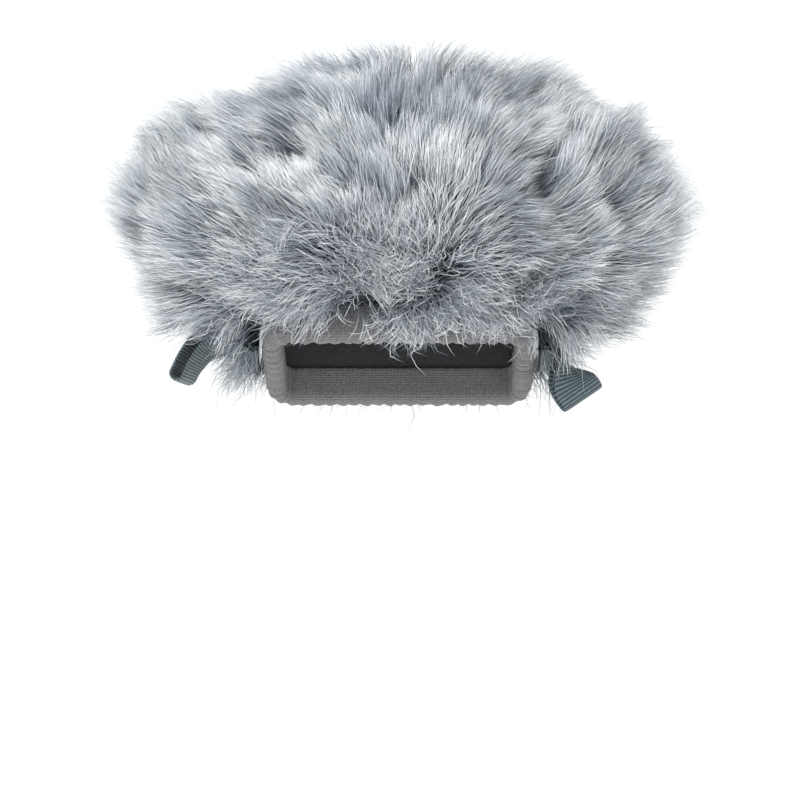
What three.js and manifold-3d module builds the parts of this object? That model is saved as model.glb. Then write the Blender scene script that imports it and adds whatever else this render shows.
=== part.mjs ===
// Furry windscreen: a fur hood that slips over the microphone end of a handheld audio recorder.
// Millimetres. +Z points to the crown, -Y to the recorder's display side, +X to the right seen from there.
// The origin is the middle of the mouth, on the sloping plane of its lower rim.
import * as THREE from "three";
import { mergeVertices } from "three/addons/utils/BufferGeometryUtils.js";
import Module from "manifold-3d";

const wasm = await Module();
wasm.setup();

// The mouth grips a recorder body 61 wide and 26 deep. Its rim slopes down from front to back.
const gripHalfX = 31.25;
const gripHalfY = 13.75;
const gripCornerRadius = 2.5;
const rimSlope = 0.5;

// Hem casing: a folded tape, open at its top, with the elastic inside. Layers are distances out from the grip.
const clearance = 0.3;
const casingWall = 0.8;
const casingDepth = 5.4;
const casingHeight = 9;
const elasticInner = 2.1;
const elasticOuter = 3.3;
const elasticBottom = 1.1;
const elasticHeight = 6;
const panelEdgeHeight = 7.5;

// The knitted backing of the fur, where it leaves the casing.
const backingOffset = casingDepth - casingWall - clearance;
const pileAtNeck = 2.8;

// Thickness of each layer under the backing's outer face: [at the neck, over the body].
const backingThickness = [0.8, 1.2];
const foamThickness = [1.1, 3.8];
const liningThickness = [0.7, 0.8];

// Seams: the gusset runs up one side, over the crown and down the other, between these two planes.
const seamY = 14;
const furSeamGap = 1.2;
const foamSeamGap = 0.6;
const liningSeamGap = 1.1;
const furThreadRadius = 0.3;
const liningThreadRadius = 0.22;
const crownThreadHalfLength = 12.6;

// Pull tabs: a tape folded into a loop, its two ends sewn down on the casing's outer wall.
const tapeWidth = 12.7;
const tapeThickness = 1;
const loopHalfThickness = 2.35;
const tabAxisOffset = casingDepth + 0.7;
const tabRootHeight = 4;
const bartackRadius = 0.5;
const bartackLength = 9;
const loopOpening = { start: 3, full: 9 }; // distances from the root between which the two layers part
const twistShare = { start: 0.15, end: 0.9 }; // the stretch of the loop over which it turns

// The elastic's two ends overlap at the back and are held by a short bar of stitches.
const elasticJoin = { halfLength: 5, radius: 0.28, proud: 0.3 };
const hemStitchHeight = 7.7;

const ringSegments = { front: 6, side: 5, corner: 3 };
const reach = 160; // half the size of the blocks that cut the shells

// Rows of the backing, from below the mouth to the crown: height, half width, half depth, roundness exponent,
// share of the body's own outline against the mouth's, and how much of the rim's slope the row keeps.
const backingRows = [
  { z: -30, a: 36, b: 18, n: 4, body: 0, slope: 0 },
  { z: casingHeight + clearance, a: 36, b: 18, n: 4, body: 0, slope: 0.5 },
  { z: 13, a: 40, b: 21, n: 4, body: 0.35, slope: 0.42 },
  { z: 18, a: 45, b: 23, n: 3.6, body: 0.75, slope: 0.32 },
  { z: 24, a: 51.5, b: 25, n: 3.2, body: 1, slope: 0.2 },
  { z: 32, a: 58.5, b: 27, n: 3, body: 1, slope: 0.1 },
  { z: 41, a: 61.8, b: 28, n: 2.8, body: 1, slope: 0 },
  { z: 50, a: 61.5, b: 27.2, n: 2.7, body: 1, slope: 0 },
  { z: 58, a: 57.5, b: 24.6, n: 2.6, body: 1, slope: 0 },
  { z: 64, a: 50, b: 20, n: 2.5, body: 1, slope: 0 },
  { z: 68, a: 38.5, b: 13.8, n: 2.4, body: 1, slope: 0 },
  { z: 69.9, a: 22, b: 7.2, n: 2.3, body: 1, slope: 0 },
  { z: 70.4, a: 0, b: 0, n: 2, body: 1, slope: 0 },
];

// Rows of the outside of the pile.
const pileRows = [
  { z: -30, a: 40, b: 22, n: 4, body: 0, slope: 0 },
  { z: casingHeight + clearance, a: 40, b: 22, n: 4, body: 0, slope: 0.5 },
  { z: 13.5, a: 42.5, b: 24, n: 3.6, body: 1, slope: 0.42 },
  { z: 16.5, a: 50.5, b: 29, n: 3.2, body: 1, slope: 0.32 },
  { z: 20, a: 61, b: 34.5, n: 3, body: 1, slope: 0.2 },
  { z: 27, a: 70.5, b: 39.8, n: 2.8, body: 1, slope: 0.1 },
  { z: 38, a: 76.2, b: 42.8, n: 2.7, body: 1, slope: 0 },
  { z: 50, a: 77, b: 43, n: 2.6, body: 1, slope: 0 },
  { z: 62, a: 73.5, b: 40.5, n: 2.5, body: 1, slope: 0 },
  { z: 72, a: 65.5, b: 34.5, n: 2.4, body: 1, slope: 0 },
  { z: 80, a: 50, b: 25, n: 2.3, body: 1, slope: 0 },
  { z: 84.3, a: 29, b: 13.5, n: 2.2, body: 1, slope: 0 },
  { z: 85.6, a: 0, b: 0, n: 2, body: 1, slope: 0 },
];

const colours = {
  fur: { color: 0xaab2ba, roughness: 0.85, metalness: 0 },
  foam: { color: 0x3a3d42, roughness: 0.95, metalness: 0 },
  lining: { color: 0x24262a, roughness: 0.9, metalness: 0 },
  tape: { color: 0x667478, roughness: 0.8, metalness: 0 },
  casing: { color: 0x4a5154, roughness: 0.85, metalness: 0 },
  elastic: { color: 0x1d1f22, roughness: 0.9, metalness: 0 },
  thread: { color: 0x50575c, roughness: 0.7, metalness: 0 },
};

// A closed geometry as a solid that can be joined and cut.
function solid(geometry) {
  const bare = geometry.clone();
  for (const name of Object.keys(bare.attributes)) {
    if (name !== "position") bare.deleteAttribute(name);
  }
  const merged = mergeVertices(bare, 1e-4);
  return new wasm.Manifold(
    new wasm.Mesh({
      numProp: 3,
      vertProperties: merged.attributes.position.array,
      triVerts: new Uint32Array(merged.index.array),
    }),
  );
}

function part(name, material, shape) {
  let geometry = shape;
  if (!shape.isBufferGeometry) {
    const mesh = shape.getMesh();
    geometry = new THREE.BufferGeometry();
    geometry.setAttribute("position", new THREE.BufferAttribute(mesh.vertProperties, 3));
    geometry.setIndex(new THREE.BufferAttribute(mesh.triVerts, 1));
    geometry = geometry.toNonIndexed();
    geometry.computeVertexNormals();
  }
  const made = new THREE.Mesh(geometry, new THREE.MeshStandardMaterial(colours[material]));
  made.name = name;
  return made;
}

// The mouth's outline, a rounded rectangle, at a distance out from the grip. It runs anticlockwise.
function mouthRing(offset) {
  const halfX = gripHalfX - gripCornerRadius;
  const halfY = gripHalfY - gripCornerRadius;
  const radius = gripCornerRadius + offset;
  const corners = [
    { x: halfX, y: halfY, segments: ringSegments.front },
    { x: -halfX, y: halfY, segments: ringSegments.side },
    { x: -halfX, y: -halfY, segments: ringSegments.front },
    { x: halfX, y: -halfY, segments: ringSegments.side },
  ];
  const points = [];
  corners.forEach((corner, i) => {
    const next = corners[(i + 1) % 4];
    for (let k = 0; k <= ringSegments.corner; k++) {
      const angle = ((i + k / ringSegments.corner) * Math.PI) / 2;
      points.push(new THREE.Vector2(corner.x + radius * Math.cos(angle), corner.y + radius * Math.sin(angle)));
    }
    const out = new THREE.Vector2(Math.cos(((i + 1) * Math.PI) / 2), Math.sin(((i + 1) * Math.PI) / 2));
    for (let k = 1; k < corner.segments; k++) {
      const along = new THREE.Vector2(corner.x, corner.y).lerp(new THREE.Vector2(next.x, next.y), k / corner.segments);
      points.push(along.addScaledVector(out, radius));
    }
  });
  return points;
}

// One row of a lofted skin: part mouth outline, part superellipse.
function rowOutline(row, offset) {
  return mouthRing(offset).map((mouth) => {
    const angle = Math.atan2(mouth.y / (gripHalfY + offset), mouth.x / (gripHalfX + offset));
    const power = 2 / row.n;
    const x = row.a * Math.sign(Math.cos(angle)) * Math.abs(Math.cos(angle)) ** power;
    const y = row.b * Math.sign(Math.sin(angle)) * Math.abs(Math.sin(angle)) ** power;
    const outline = mouth.clone().lerp(new THREE.Vector2(x, y), row.body);
    return new THREE.Vector3(outline.x, outline.y, row.z - row.slope * outline.y);
  });
}

function skin(rows, offset) {
  return rows.map((row) => rowOutline(row, offset));
}

// The same skin moved inwards along its normals, by one distance at the neck and another over the body.
function insetSkin(grid, rows, [atNeck, overBody]) {
  return grid.map((row, i) =>
    row.map((point, j) => {
      const distance = THREE.MathUtils.lerp(atNeck, overBody, rows[i].body);
      if (rows[i].a === 0) return point.clone().setZ(point.z - distance);
      const around = new THREE.Vector3().subVectors(row[(j + 1) % row.length], row[(j - 1 + row.length) % row.length]);
      const above = grid[Math.min(i + 1, grid.length - 1)][j];
      const below = grid[Math.max(i - 1, 0)][j];
      const up = rows[i].body === 0 ? new THREE.Vector3(0, 0, 1) : new THREE.Vector3().subVectors(above, below);
      const normal = around.cross(up).normalize();
      return point.clone().addScaledVector(normal, -distance);
    }),
  );
}

// A skin closed by a flat floor under its first row and a point at its last row.
function closedSkin(grid) {
  const columns = grid[0].length;
  const rings = grid.slice(0, -1);
  const points = rings.flat();
  const floor = points.push(new THREE.Vector3(0, 0, grid[0][0].z)) - 1;
  const crown = points.push(grid.at(-1)[0]) - 1;
  const index = [];
  for (let j = 0; j < columns; j++) {
    const k = (j + 1) % columns;
    index.push(floor, k, j);
    for (let i = 0; i < rings.length - 1; i++) {
      const low = i * columns;
      const high = low + columns;
      index.push(low + j, low + k, high + k, low + j, high + k, high + j);
    }
    const last = (rings.length - 1) * columns;
    index.push(last + j, last + k, crown);
  }
  const geometry = new THREE.BufferGeometry().setFromPoints(points);
  geometry.setIndex(index);
  return solid(geometry);
}

// A block over everything above a plane that slopes with the rim.
function aboveRim(height) {
  const block = new THREE.BoxGeometry(2 * reach, 2 * reach, reach).translate(0, 0, reach / 2);
  return solid(block.rotateX(-Math.atan(rimSlope)).translate(0, 0, height));
}

function blockBetween([x0, x1], [y0, y1]) {
  const block = new THREE.BoxGeometry(x1 - x0, y1 - y0, 2 * reach);
  return solid(block.translate((x0 + x1) / 2, (y0 + y1) / 2, 0));
}

// A ring of material between two distances out from the grip, and between two heights above the rim.
function rimRing(inner, outer, bottom, top) {
  const column = (offset) =>
    solid(new THREE.ExtrudeGeometry(new THREE.Shape(mouthRing(offset)), { depth: reach, bevelEnabled: false })
      .translate(0, 0, -reach / 2));
  return column(outer).subtract(column(inner)).intersect(aboveRim(bottom)).subtract(aboveRim(top));
}

// A round thread along a smooth line of points.
function thread(points, radius, steps) {
  const section = new THREE.Shape(new THREE.EllipseCurve(0, 0, radius, radius).getPoints(6).slice(0, 6));
  const route = new THREE.CatmullRomCurve3(points, false, "centripetal");
  return new THREE.ExtrudeGeometry(section, { steps, bevelEnabled: false, extrudePath: route });
}

// A short bar of dense stitches.
function bartack(from, to, radius) {
  const length = from.distanceTo(to);
  const bar = new THREE.LatheGeometry(
    [
      new THREE.Vector2(0, -length / 2),
      new THREE.Vector2(radius * 0.7, -length / 2 + radius * 0.3),
      new THREE.Vector2(radius, -length / 2 + radius),
      new THREE.Vector2(radius, length / 2 - radius),
      new THREE.Vector2(radius * 0.7, length / 2 - radius * 0.3),
      new THREE.Vector2(0, length / 2),
    ],
    8,
  );
  const along = new THREE.Vector3().subVectors(to, from).normalize();
  bar.applyQuaternion(new THREE.Quaternion().setFromUnitVectors(new THREE.Vector3(0, 1, 0), along));
  return bar.translate(...from.clone().lerp(to, 0.5).toArray());
}

// Where a skin crosses the plane axis = value, as points in order round the crown.
function seamLine(grid, axis, value, inPlane) {
  const crossings = [];
  const test = (p, q) => {
    const t = (value - p[axis]) / (q[axis] - p[axis]);
    if (t >= 0 && t < 1) crossings.push(p.clone().lerp(q, t));
  };
  for (let i = 1; i < grid.length - 1; i++) {
    for (let j = 0; j < grid[i].length; j++) {
      test(grid[i][j], grid[i][(j + 1) % grid[i].length]);
      test(grid[i][j], grid[i + 1][j]);
    }
  }
  const middle = 35;
  const turn = (p) => {
    const angle = Math.atan2(p.z - middle, p[inPlane]);
    return angle < -Math.PI / 2 ? angle + 2 * Math.PI : angle;
  };
  const ordered = crossings.sort((p, q) => turn(p) - turn(q));
  return ordered.filter((p, i) => i === 0 || p.distanceTo(ordered[i - 1]) > 1.5);
}

function panels(shell, gap) {
  const half = gap / 2;
  return {
    front: shell.intersect(blockBetween([-reach, reach], [-reach, -seamY - half])),
    back: shell.intersect(blockBetween([-reach, reach], [seamY + half, reach])),
    gusset: shell.intersect(blockBetween([-reach, reach], [-seamY + half, seamY - half])),
  };
}

const backing = skin(backingRows, backingOffset);
const under = (distances) => insetSkin(backing, backingRows, distances);
const sum = (...pairs) => [0, 1].map((i) => pairs.reduce((total, pair) => total + pair[i], 0));
const gapPair = [clearance, clearance];

// Four fur panels: the backing, tucked into the casing, and the pile, which starts above it.
function furParts() {
  const outside = closedSkin(skin(pileRows, backingOffset + pileAtNeck)).intersect(aboveRim(casingHeight + clearance));
  const tucked = closedSkin(backing).intersect(aboveRim(panelEdgeHeight));
  const inside = closedSkin(under(backingThickness));
  const cut = panels(outside.add(tucked).subtract(inside), furSeamGap);
  const half = furSeamGap / 2;
  return [
    part("fur_front_panel", "fur", cut.front),
    part("fur_back_panel", "fur", cut.back),
    part("fur_gusset_left", "fur", cut.gusset.intersect(blockBetween([-reach, -half], [-reach, reach]))),
    part("fur_gusset_right", "fur", cut.gusset.intersect(blockBetween([half, reach], [-reach, reach]))),
  ];
}

function layer(outerDistances, thickness) {
  const outer = closedSkin(under(outerDistances));
  const inner = closedSkin(under(sum(outerDistances, thickness)));
  return outer.subtract(inner).intersect(aboveRim(panelEdgeHeight));
}

const foamOuter = sum(backingThickness, gapPair);
const liningOuter = sum(foamOuter, foamThickness, gapPair);

function foamParts() {
  const cut = panels(layer(foamOuter, foamThickness), foamSeamGap);
  return Object.entries(cut).map(([side, shape]) => part(`foam_${side}`, "foam", shape));
}

function liningParts() {
  const cut = panels(layer(liningOuter, liningThickness), liningSeamGap);
  return Object.entries(cut).map(([side, shape]) => part(`lining_${side}`, "lining", shape));
}

// Seam threads lie in the gaps between panels, half way through the cloth that they join.
function seamThreads() {
  const furMiddle = under(backingThickness.map((t) => t / 2));
  const liningMiddle = under(sum(liningOuter, liningThickness.map((t) => t / 2)));
  const clearOfCasing = (p) => p.z > casingHeight + 2 - rimSlope * p.y;
  const made = [];
  for (const [side, y] of [["front", -seamY], ["back", seamY]]) {
    const outer = seamLine(furMiddle, "y", y, "x").filter(clearOfCasing);
    const inner = seamLine(liningMiddle, "y", y, "x").filter(clearOfCasing);
    made.push(part(`seam_thread_${side}`, "thread", thread(outer, furThreadRadius, 44)));
    made.push(part(`lining_seam_thread_${side}`, "thread", thread(inner, liningThreadRadius, 40)));
  }
  const crown = seamLine(furMiddle, "x", 1e-3, "y").filter((p) => p.z > 50 && Math.abs(p.y) < crownThreadHalfLength);
  made.push(part("crown_seam_thread", "thread", thread(crown, furThreadRadius, 12)));
  return made;
}

function hemParts() {
  const shell = rimRing(0, casingDepth, 0, casingHeight);
  const channel = rimRing(casingWall, casingDepth - casingWall, casingWall, casingHeight + 1);
  const elastic = rimRing(elasticInner, elasticOuter, elasticBottom, elasticBottom + elasticHeight);
  const stitchOffset = casingDepth + furThreadRadius + clearance;
  const ring = mouthRing(stitchOffset).map((p) => new THREE.Vector3(p.x, p.y, hemStitchHeight - rimSlope * p.y));
  const back = ring.findIndex((p) => p.y > gripHalfY && Math.abs(p.x) < 1);
  const round = [...ring.slice(back), ...ring.slice(0, back)];
  const lapY = gripHalfY + elasticOuter + clearance + elasticJoin.proud;
  const lapZ = elasticBottom + elasticHeight / 2 - rimSlope * lapY;
  const lapEnd = (side) => new THREE.Vector3(side * elasticJoin.halfLength, lapY, lapZ);
  return [
    part("hem_casing", "casing", shell.subtract(channel)),
    part("elastic_band", "elastic", elastic),
    part("elastic_join_bartack", "thread", bartack(lapEnd(-1), lapEnd(1), elasticJoin.radius)),
    part("hem_stitching", "thread", thread(round, furThreadRadius, 64)),
  ];
}

// The outline of the loop seen from its edge: x runs from the root to the fold, y through its thickness.
function loopOutline(length) {
  const straight = length - loopHalfThickness;
  const innerStart = loopOpening.start + 1.5; // where the gap between the layers is wide enough to cut
  const halfAt = (x) => {
    const open = THREE.MathUtils.smoothstep(x, loopOpening.start, loopOpening.full);
    return THREE.MathUtils.lerp(tapeThickness, loopHalfThickness, open);
  };
  const side = (from, steps, inset) => {
    const points = [];
    for (let k = 0; k <= steps; k++) {
      const x = THREE.MathUtils.lerp(from, straight, k / steps);
      points.push(new THREE.Vector2(x, halfAt(x) - inset));
    }
    return points;
  };
  const fold = (radius) => {
    const points = [];
    for (let k = 1; k < 4; k++) {
      const angle = Math.PI / 2 - (k / 4) * Math.PI;
      points.push(new THREE.Vector2(straight + radius * Math.cos(angle), radius * Math.sin(angle)));
    }
    return points;
  };
  const mirrored = (points) => points.map((p) => new THREE.Vector2(p.x, -p.y)).reverse();
  const outer = side(0, 12, 0);
  const inner = side(innerStart, 8, tapeThickness);
  const shape = new THREE.Shape([...outer, ...fold(loopHalfThickness), ...mirrored(outer)].reverse());
  shape.holes.push(new THREE.Path([...inner, ...fold(loopHalfThickness - tapeThickness), ...mirrored(inner)]));
  return shape;
}

// A loop of tape along a route. Its width starts along the hem and turns by twist degrees towards the fold.
function pullTab(route, twist) {
  const length = route.getLength();
  const geometry = new THREE.ExtrudeGeometry(loopOutline(length), { depth: tapeWidth, bevelEnabled: false });
  const hemLine = new THREE.Vector3(0, 1, -rimSlope).normalize();
  const position = geometry.attributes.position;
  for (let i = 0; i < position.count; i++) {
    const along = THREE.MathUtils.clamp(position.getX(i) / length, 0, 1);
    const tangent = route.getTangentAt(along);
    const width = hemLine.clone().addScaledVector(tangent, -hemLine.dot(tangent)).normalize();
    const turn = twist * THREE.MathUtils.smoothstep(along, twistShare.start, twistShare.end);
    width.applyAxisAngle(tangent, THREE.MathUtils.degToRad(turn));
    const through = new THREE.Vector3().crossVectors(width, tangent);
    const placed = route.getPointAt(along).addScaledVector(through, position.getY(i));
    placed.addScaledVector(width, position.getZ(i) - tapeWidth / 2);
    position.setXYZ(i, ...placed.toArray());
  }
  return solid(geometry);
}

function tabParts() {
  const routes = {
    left: new THREE.CatmullRomCurve3([
      new THREE.Vector3(-38.3, 0, 4),
      new THREE.Vector3(-40, 0, 4.2),
      new THREE.Vector3(-43.2, 0, 7),
      new THREE.Vector3(-47.8, 0, 9.4),
      new THREE.Vector3(-52.6, 0, 8),
      new THREE.Vector3(-56.4, 0, 3.8),
      new THREE.Vector3(-59.8, 0, -2.4),
    ]),
    right: new THREE.CatmullRomCurve3([
      new THREE.Vector3(38.3, 0, 4),
      new THREE.Vector3(40.4, 0.1, 4.2),
      new THREE.Vector3(43.2, -0.4, 3.2),
      new THREE.Vector3(45.2, -1.85, 0.3),
      new THREE.Vector3(47.4, -3.75, -3.5),
      new THREE.Vector3(50, -5.45, -6.9),
    ]),
  };
  const halfBar = new THREE.Vector3(0, 1, -rimSlope).setLength(bartackLength / 2);
  const made = [];
  for (const [side, sign, twist] of [["left", -1, 0], ["right", 1, 95]]) {
    const root = new THREE.Vector3(sign * (gripHalfX + tabAxisOffset), 0, tabRootHeight);
    const bar = bartack(root.clone().sub(halfBar), root.clone().add(halfBar), bartackRadius);
    made.push(part(`pull_tab_${side}`, "tape", pullTab(routes[side], twist)));
    made.push(part(`tab_bartack_${side}`, "thread", bar));
  }
  return made;
}

const windscreen = new THREE.Group();
windscreen.add(...furParts(), ...foamParts(), ...liningParts(), ...seamThreads(), ...hemParts(), ...tabParts());

export default windscreen;
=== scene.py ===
import math
import bpy
import numpy as np
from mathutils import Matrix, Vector
from mathutils.kdtree import KDTree


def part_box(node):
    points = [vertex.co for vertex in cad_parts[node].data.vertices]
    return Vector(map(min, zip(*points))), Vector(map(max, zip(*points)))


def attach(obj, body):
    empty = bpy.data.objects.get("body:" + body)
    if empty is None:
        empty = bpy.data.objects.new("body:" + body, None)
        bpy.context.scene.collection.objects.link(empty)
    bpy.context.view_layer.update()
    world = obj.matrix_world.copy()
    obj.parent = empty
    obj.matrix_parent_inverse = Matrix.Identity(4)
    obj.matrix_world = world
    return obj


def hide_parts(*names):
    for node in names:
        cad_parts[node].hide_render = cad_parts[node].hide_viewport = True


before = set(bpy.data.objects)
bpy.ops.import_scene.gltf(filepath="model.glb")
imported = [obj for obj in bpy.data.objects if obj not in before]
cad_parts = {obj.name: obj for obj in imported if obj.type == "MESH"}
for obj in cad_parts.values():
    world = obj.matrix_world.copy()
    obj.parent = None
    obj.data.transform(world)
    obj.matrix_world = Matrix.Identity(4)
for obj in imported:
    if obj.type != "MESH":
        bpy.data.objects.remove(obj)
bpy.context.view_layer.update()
bpy.ops.object.select_all(action="DESELECT")
scene = bpy.context.scene
mm = 0.001


# the hood's form, in the frame's own metres

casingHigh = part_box("hem_casing")[1]
hem = {
    "wall": 5.4 * mm,          # how far the casing reaches out from the grip
    "cloth": 0.8 * mm,         # thickness of the casing's cloth
    "height": 9 * mm,
    "slope": 0.5,              # the rim drops by half of what it runs back
    "corner": 2.5 * mm,
    "gap": 0.3 * mm,
}
gripX = casingHigh.x - hem["wall"]
gripY = casingHigh.y - hem["wall"]

# height, half width, half depth, roundness, share of the body's outline, slope of the row
hoodRows = np.array([
    (7.5, 36, 18, 4, 0, 0.5),
    (9.3, 36, 18, 4, 0, 0.5),
    (13, 40, 21, 4, 0.35, 0.42),
    (18, 45, 23, 3.6, 0.75, 0.32),
    (24, 51.5, 25, 3.2, 1, 0.2),
    (32, 58.5, 27, 3, 1, 0.1),
    (41, 61.8, 28, 2.8, 1, 0),
    (50, 61.5, 27.2, 2.7, 1, 0),
    (58, 57.5, 24.6, 2.6, 1, 0),
    (64, 50, 20, 2.5, 1, 0),
    (68, 38.5, 13.8, 2.4, 1, 0),
    (69.9, 22, 7.2, 2.3, 1, 0),
    (70.4, 0, 0, 2, 1, 0),
])
hoodRows[:, :3] *= mm
backingOffset = hem["wall"] - hem["cloth"] - hem["gap"]
seamY = 14 * mm


def rowAt(up):
    # the rows' values at a height along the hood, 0 at the mouth and 1 at the crown
    last = len(hoodRows) - 1
    at = np.clip(np.asarray(up, float), 0, 1) * last
    i = np.clip(at.astype(int), 0, last - 1)
    t = (at - i)[..., None]
    p0, p1 = hoodRows[np.maximum(i - 1, 0)], hoodRows[i]
    p2, p3 = hoodRows[i + 1], hoodRows[np.minimum(i + 2, last)]
    smooth = 0.5 * (2 * p1 + (p2 - p0) * t + (2 * p0 - 5 * p1 + 4 * p2 - p3) * t ** 2
                    + (3 * p1 - p0 - 3 * p2 + p3) * t ** 3)
    return np.where(at[..., None] < 1, p1 + (p2 - p1) * t, smooth)


def mouthOutline(angle, offset):
    # the point of the rounded rectangle that lies in this direction
    a, b, r = gripX + offset, gripY + offset, hem["corner"] + offset
    cos, sin = np.abs(np.cos(angle)), np.abs(np.sin(angle))
    dx, dy = a * cos, b * sin
    t = 1 / np.maximum(cos, sin)
    cx, cy = a - r, b - r
    inCorner = (dx * t > cx) & (dy * t > cy)
    dot, dd = dx * cx + dy * cy, dx ** 2 + dy ** 2
    root = np.sqrt(np.maximum(dot ** 2 - dd * (cx ** 2 + cy ** 2 - r ** 2), 0))
    t = np.where(inCorner, (dot + root) / dd, t)
    return np.sign(np.cos(angle)) * dx * t, np.sign(np.sin(angle)) * dy * t


def hoodPoint(angle, up):
    # a point of the fur backing's outer face
    z, a, b, n, body, slope = np.moveaxis(rowAt(up), -1, 0)
    mouthX, mouthY = mouthOutline(angle, backingOffset)
    power = 2 / n
    cos, sin = np.cos(angle), np.sin(angle)
    x = np.maximum(a, 0) * np.sign(cos) * np.abs(cos) ** power
    y = np.maximum(b, 0) * np.sign(sin) * np.abs(sin) ** power
    x, y = mouthX + (x - mouthX) * body, mouthY + (y - mouthY) * body
    return np.stack([x, y, z - slope * y], -1)


def hoodNormal(angle, up):
    da, du = 2e-3, 2e-3
    around = hoodPoint(angle + da, up) - hoodPoint(angle - da, up)
    rise = hoodPoint(angle, np.minimum(up + du, 1)) - hoodPoint(angle, np.maximum(up - du, 0))
    normal = np.cross(around, rise)
    size = np.linalg.norm(normal, axis=-1, keepdims=True)
    crown = np.broadcast_to([0.0, 0.0, 1.0], normal.shape)
    return np.where(size > 1e-12, normal / np.maximum(size, 1e-12), crown)


def layerPoint(angle, up, neckDepth, bodyDepth):
    body = np.clip(rowAt(up)[..., 4], 0, 1) ** 1.8      # the layers stay thin until the neck is passed
    depth = neckDepth + (bodyDepth - neckDepth) * body
    return hoodPoint(angle, up) - hoodNormal(angle, up) * depth[..., None]


def smoothStep(value, low, high):
    t = np.clip((value - low) / (high - low), 0, 1)
    return t * t * (3 - 2 * t)


def unit(v):
    return v / np.maximum(np.linalg.norm(v, axis=-1, keepdims=True), 1e-12)


# materials

def groupSockets(group, inputs, outputs):
    for name, kind, value in inputs:
        made = group.interface.new_socket(name, in_out="INPUT", socket_type=kind)
        if value is not None:
            made.default_value = value
    for name, kind in outputs:
        group.interface.new_socket(name, in_out="OUTPUT", socket_type=kind)


def buildClothGroup():
    # warp and weft threads, with slubs and soft patches of lighter and darker dye, and painted shade in the
    # gaps between the threads
    group = bpy.data.node_groups.new("wovenCloth", "ShaderNodeTree")
    groupSockets(group,
                 [("Vector", "NodeSocketVector", None), ("Color", "NodeSocketColor", (0.2, 0.2, 0.2, 1)),
                  ("Threads", "NodeSocketFloat", 1600.0), ("Patch", "NodeSocketFloat", 0.25)],
                 [("Color", "NodeSocketColor"), ("Height", "NodeSocketFloat"), ("Rough", "NodeSocketFloat")])
    node, link = group.nodes.new, group.links.new
    given, out = node("NodeGroupInput"), node("NodeGroupOutput")
    waves = []
    for direction in ("X", "Y"):
        wave = node("ShaderNodeTexWave")
        wave.wave_type, wave.bands_direction, wave.wave_profile = "BANDS", direction, "SIN"
        wave.inputs["Distortion"].default_value = 1.2
        wave.inputs["Detail"].default_value = 1.0
        wave.inputs["Detail Scale"].default_value = 2.0
        link(given.outputs["Vector"], wave.inputs["Vector"])
        link(given.outputs["Threads"], wave.inputs["Scale"])
        waves.append(wave)
    mixed = node("ShaderNodeMath")
    mixed.operation = "MAXIMUM"
    link(waves[0].outputs["Fac"], mixed.inputs[0])
    link(waves[1].outputs["Fac"], mixed.inputs[1])
    dye = node("ShaderNodeTexNoise")
    dye.inputs["Scale"].default_value = 60.0
    dye.inputs["Detail"].default_value = 4.0
    link(given.outputs["Vector"], dye.inputs["Vector"])
    fibres = node("ShaderNodeTexNoise")
    fibres.inputs["Scale"].default_value = 1300.0
    fibres.inputs["Detail"].default_value = 3.0
    link(given.outputs["Vector"], fibres.inputs["Vector"])
    heather = node("ShaderNodeMath")
    heather.operation = "MULTIPLY_ADD"
    link(fibres.outputs["Fac"], heather.inputs[0])
    heather.inputs[1].default_value = 1.1
    heather.inputs[2].default_value = 0.2
    shade = node("ShaderNodeMath")
    shade.operation = "MULTIPLY_ADD"
    link(dye.outputs["Fac"], shade.inputs[0])
    link(given.outputs["Patch"], shade.inputs[1])
    link(heather.outputs[0], shade.inputs[2])
    # painted shade: the colour drops to 0.7 in the gaps between the threads
    gap = node("ShaderNodeMath")
    gap.operation = "MULTIPLY_ADD"
    link(mixed.outputs[0], gap.inputs[0])
    gap.inputs[1].default_value = 0.3
    gap.inputs[2].default_value = 0.7
    dyeAndGapShade = node("ShaderNodeMath")
    dyeAndGapShade.operation = "MULTIPLY"
    link(shade.outputs[0], dyeAndGapShade.inputs[0])
    link(gap.outputs[0], dyeAndGapShade.inputs[1])
    scaled = node("ShaderNodeVectorMath")
    scaled.operation = "SCALE"
    link(given.outputs["Color"], scaled.inputs[0])
    link(dyeAndGapShade.outputs[0], scaled.inputs["Scale"])
    rough = node("ShaderNodeMath")
    rough.operation = "MULTIPLY_ADD"
    link(dye.outputs["Fac"], rough.inputs[0])
    rough.inputs[1].default_value = 0.2
    rough.inputs[2].default_value = 0.72
    link(scaled.outputs[0], out.inputs["Color"])
    link(mixed.outputs[0], out.inputs["Height"])
    link(rough.outputs[0], out.inputs["Rough"])
    return group


def newMaterial(name, roughness=0.8, sheen=0.0, sheenRoughness=0.5, specular=0.3):
    material = bpy.data.materials.new(name)
    material.use_nodes = True
    shader = material.node_tree.nodes["Principled BSDF"]
    shader.inputs["Roughness"].default_value = roughness
    shader.inputs["Sheen Weight"].default_value = sheen
    shader.inputs["Sheen Roughness"].default_value = sheenRoughness
    shader.inputs["Specular IOR Level"].default_value = specular
    return material, shader


def addBump(material, shader, height, distance, strength=1.0):
    bump = material.node_tree.nodes.new("ShaderNodeBump")
    bump.inputs["Distance"].default_value = distance
    bump.inputs["Strength"].default_value = strength
    material.node_tree.links.new(height, bump.inputs["Height"])
    material.node_tree.links.new(bump.outputs["Normal"], shader.inputs["Normal"])


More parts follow.
